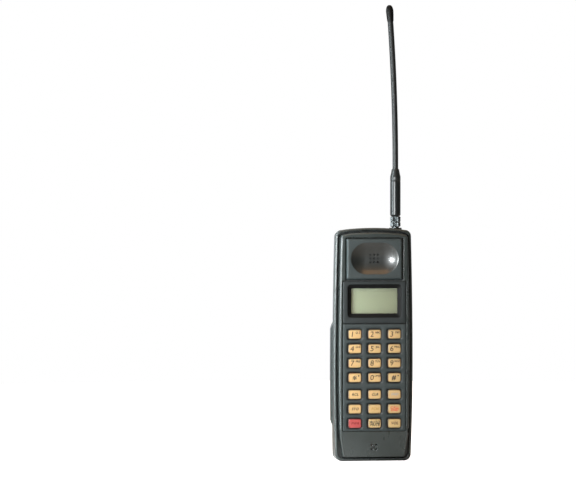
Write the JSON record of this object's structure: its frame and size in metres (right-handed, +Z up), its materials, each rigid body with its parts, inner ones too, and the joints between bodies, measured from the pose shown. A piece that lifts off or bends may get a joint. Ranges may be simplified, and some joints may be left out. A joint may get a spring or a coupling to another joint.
{
  "type": "early mobile phone",
  "caption": "Upright brick-shaped early mobile phone with a keypad, a display, a dished earpiece, a tilt-out battery pack and a screw-on whip antenna.",
  "frame": {"origin": "middle of the case's width on the flat foot, 17 mm behind the front face", "axes": "+Z up along the case to the antenna, face towards -Y, +X to the right of the face"},
  "size_m": [0.0648, 0.0384, 0.365],
  "materials": {
    "case_plastic": "fine-grained moulded dark grey",
    "panel_plastic": "satin dark blue-grey",
    "lens_clear": "clear window",
    "key_amber": "translucent amber, printed legends",
    "key_red": "translucent red",
    "rubber_grey": "silicone",
    "rubber_black": "soft",
    "board_green": "solder mask",
    "lcd_glass": "grey-green reflective display",
    "dark_plastic": "moulded",
    "light_guide": "milky",
    "bright_steel": "plated",
    "chassis_metal": "cast",
    "filter_metal": "plated ceramic filter",
    "cell_wrap": "shrink sleeve",
    "gilt_contact": "gilt",
    "brass": "turned",
    "insulator_white": "smooth",
    "nickel": "nickel, knurled",
    "boot_rubber": "smooth moulded",
    "whip_sheath": "smooth sheath",
    "tip_rubber": "matte",
    "copper_wire": "enamelled copper"
  },
  "bodies": {
    "handset": {"front_case": "case_plastic", "rear_case": "case_plastic", "earpiece_panel": "panel_plastic", "display_bezel": "panel_plastic", "keypad_panel": "panel_plastic", "display_lens": "lens_clear", "keypad_mat": "rubber_grey", "earpiece_gasket": "rubber_black", "microphone_boot": "rubber_black", "keypad_board": "board_green", "logic_board": "board_green", "radio_board": "board_green", "lcd_glass": "lcd_glass", "lcd_holder": "dark_plastic", "ringer": "dark_plastic", "earpiece_capsule": "dark_plastic", "system_connector": "dark_plastic", "light_guide": "light_guide", "case_screws": "bright_steel", "shield_cans": "bright_steel", "microphone": "bright_steel", "latch_spring": "bright_steel", "chassis_frame": "chassis_metal", "duplexer": "filter_metal", "terminal_springs": "gilt_contact", "antenna_socket": "brass", "socket_insulator": "insulator_white"},
    "battery_pack": {"battery_case": "case_plastic", "battery_cover": "case_plastic", "battery_cells": "cell_wrap", "charging_contacts": "gilt_contact", "battery_terminals": "gilt_contact"},
    "battery_latch": {"battery_latch": "case_plastic"},
    "antenna": {"antenna_ferrule": "brass", "antenna_boot": "boot_rubber", "antenna_whip": "whip_sheath", "antenna_tip": "tip_rubber", "antenna_coil": "copper_wire"},
    "antenna_collar": {"antenna_collar": "nickel"},
    "key_1": {"key_1": "key_amber"},
    "key_2": {"key_2": "key_amber"},
    "key_3": {"key_3": "key_amber"},
    "key_4": {"key_4": "key_amber"},
    "key_5": {"key_5": "key_amber"},
    "key_6": {"key_6": "key_amber"},
    "key_7": {"key_7": "key_amber"},
    "key_8": {"key_8": "key_amber"},
    "key_9": {"key_9": "key_amber"},
    "key_star": {"key_star": "key_amber"},
    "key_0": {"key_0": "key_amber"},
    "key_hash": {"key_hash": "key_amber"},
    "key_recall": {"key_recall": "key_amber"},
    "key_clear": {"key_clear": "key_amber"},
    "key_send": {"key_send": "key_amber"},
    "key_store": {"key_store": "key_amber"},
    "key_function": {"key_function": "key_amber"},
    "key_end": {"key_end": "key_amber"},
    "key_power": {"key_power": "key_red"},
    "key_mute": {"key_mute": "key_amber"},
    "key_volume": {"key_volume": "key_amber"}
  },
  "joints": [
    {"name": "key_1_press", "type": "slide", "parent": "handset", "child": "key_1", "axis": [0, 1, 0], "range_m": [0, 0.001], "stiffness_N_per_m": 1200, "springref_m": -0.0001, "deforming": ["keypad_mat"]},
    {"name": "key_2_press", "type": "slide", "parent": "handset", "child": "key_2", "axis": [0, 1, 0], "range_m": [0, 0.001], "stiffness_N_per_m": 1200, "springref_m": -0.0001, "deforming": ["keypad_mat"]},
    {"name": "key_3_press", "type": "slide", "parent": "handset", "child": "key_3", "axis": [0, 1, 0], "range_m": [0, 0.001], "stiffness_N_per_m": 1200, "springref_m": -0.0001, "deforming": ["keypad_mat"]},
    {"name": "key_4_press", "type": "slide", "parent": "handset", "child": "key_4", "axis": [0, 1, 0], "range_m": [0, 0.001], "stiffness_N_per_m": 1200, "springref_m": -0.0001, "deforming": ["keypad_mat"]},
    {"name": "key_5_press", "type": "slide", "parent": "handset", "child": "key_5", "axis": [0, 1, 0], "range_m": [0, 0.001], "stiffness_N_per_m": 1200, "springref_m": -0.0001, "deforming": ["keypad_mat"]},
    {"name": "key_6_press", "type": "slide", "parent": "handset", "child": "key_6", "axis": [0, 1, 0], "range_m": [0, 0.001], "stiffness_N_per_m": 1200, "springref_m": -0.0001, "deforming": ["keypad_mat"]},
    {"name": "key_7_press", "type": "slide", "parent": "handset", "child": "key_7", "axis": [0, 1, 0], "range_m": [0, 0.001], "stiffness_N_per_m": 1200, "springref_m": -0.0001, "deforming": ["keypad_mat"]},
    {"name": "key_8_press", "type": "slide", "parent": "handset", "child": "key_8", "axis": [0, 1, 0], "range_m": [0, 0.001], "stiffness_N_per_m": 1200, "springref_m": -0.0001, "deforming": ["keypad_mat"]},
    {"name": "key_9_press", "type": "slide", "parent": "handset", "child": "key_9", "axis": [0, 1, 0], "range_m": [0, 0.001], "stiffness_N_per_m": 1200, "springref_m": -0.0001, "deforming": ["keypad_mat"]},
    {"name": "key_star_press", "type": "slide", "parent": "handset", "child": "key_star", "axis": [0, 1, 0], "range_m": [0, 0.001], "stiffness_N_per_m": 1200, "springref_m": -0.0001, "deforming": ["keypad_mat"]},
    {"name": "key_0_press", "type": "slide", "parent": "handset", "child": "key_0", "axis": [0, 1, 0], "range_m": [0, 0.001], "stiffness_N_per_m": 1200, "springref_m": -0.0001, "deforming": ["keypad_mat"]},
    {"name": "key_hash_press", "type": "slide", "parent": "handset", "child": "key_hash", "axis": [0, 1, 0], "range_m": [0, 0.001], "stiffness_N_per_m": 1200, "springref_m": -0.0001, "deforming": ["keypad_mat"]},
    {"name": "key_recall_press", "type": "slide", "parent": "handset", "child": "key_recall", "axis": [0, 1, 0], "range_m": [0, 0.001], "stiffness_N_per_m": 1200, "springref_m": -0.0001, "deforming": ["keypad_mat"]},
    {"name": "key_clear_press", "type": "slide", "parent": "handset", "child": "key_clear", "axis": [0, 1, 0], "range_m": [0, 0.001], "stiffness_N_per_m": 1200, "springref_m": -0.0001, "deforming": ["keypad_mat"]},
    {"name": "key_send_press", "type": "slide", "parent": "handset", "child": "key_send", "axis": [0, 1, 0], "range_m": [0, 0.001], "stiffness_N_per_m": 1200, "springref_m": -0.0001, "deforming": ["keypad_mat"]},
    {"name": "key_store_press", "type": "slide", "parent": "handset", "child": "key_store", "axis": [0, 1, 0], "range_m": [0, 0.001], "stiffness_N_per_m": 1200, "springref_m": -0.0001, "deforming": ["keypad_mat"]},
    {"name": "key_function_press", "type": "slide", "parent": "handset", "child": "key_function", "axis": [0, 1, 0], "range_m": [0, 0.001], "stiffness_N_per_m": 1200, "springref_m": -0.0001, "deforming": ["keypad_mat"]},
    {"name": "key_end_press", "type": "slide", "parent": "handset", "child": "key_end", "axis": [0, 1, 0], "range_m": [0, 0.001], "stiffness_N_per_m": 1200, "springref_m": -0.0001, "deforming": ["keypad_mat"]},
    {"name": "key_power_press", "type": "slide", "parent": "handset", "child": "key_power", "axis": [0, 1, 0], "range_m": [0, 0.001], "stiffness_N_per_m": 1200, "springref_m": -0.0001, "deforming": ["keypad_mat"]},
    {"name": "key_mute_press", "type": "slide", "parent": "handset", "child": "key_mute", "axis": [0, 1, 0], "range_m": [0, 0.001], "stiffness_N_per_m": 1200, "springref_m": -0.0001, "deforming": ["keypad_mat"]},
    {"name": "key_volume_press", "type": "slide", "parent": "handset", "child": "key_volume", "axis": [0, 1, 0], "range_m": [0, 0.001], "stiffness_N_per_m": 1200, "springref_m": -0.0001, "deforming": ["keypad_mat"]},
    {"name": "latch_slide", "type": "slide", "parent": "handset", "child": "battery_latch", "axis": [0, 0, 1], "range_m": [0, 0.0026], "stiffness_N_per_m": 900, "springref_m": -0.001, "deforming": ["latch_spring"]},
    {"name": "battery_tilt", "type": "hinge", "parent": "handset", "child": "battery_pack", "pos_m": [0, 0.0166, 0.0034], "axis": [-1, 0, 0], "range_deg": [0, 22]},
    {"name": "antenna_lift", "type": "slide", "parent": "handset", "child": "antenna", "axis": [0, 0, 1], "range_m": [0, 0.003]},
    {"name": "collar_turn", "type": "hinge", "parent": "antenna", "child": "antenna_collar", "pos_m": [0.0195, 0.002, 0.19], "axis": [0, 0, 1], "range_deg": [0, 1440]}
  ],
  "couplings": [
    {"joint": "collar_turn", "follows": "antenna_lift", "rad_per_m": 8377.5}
  ]
}
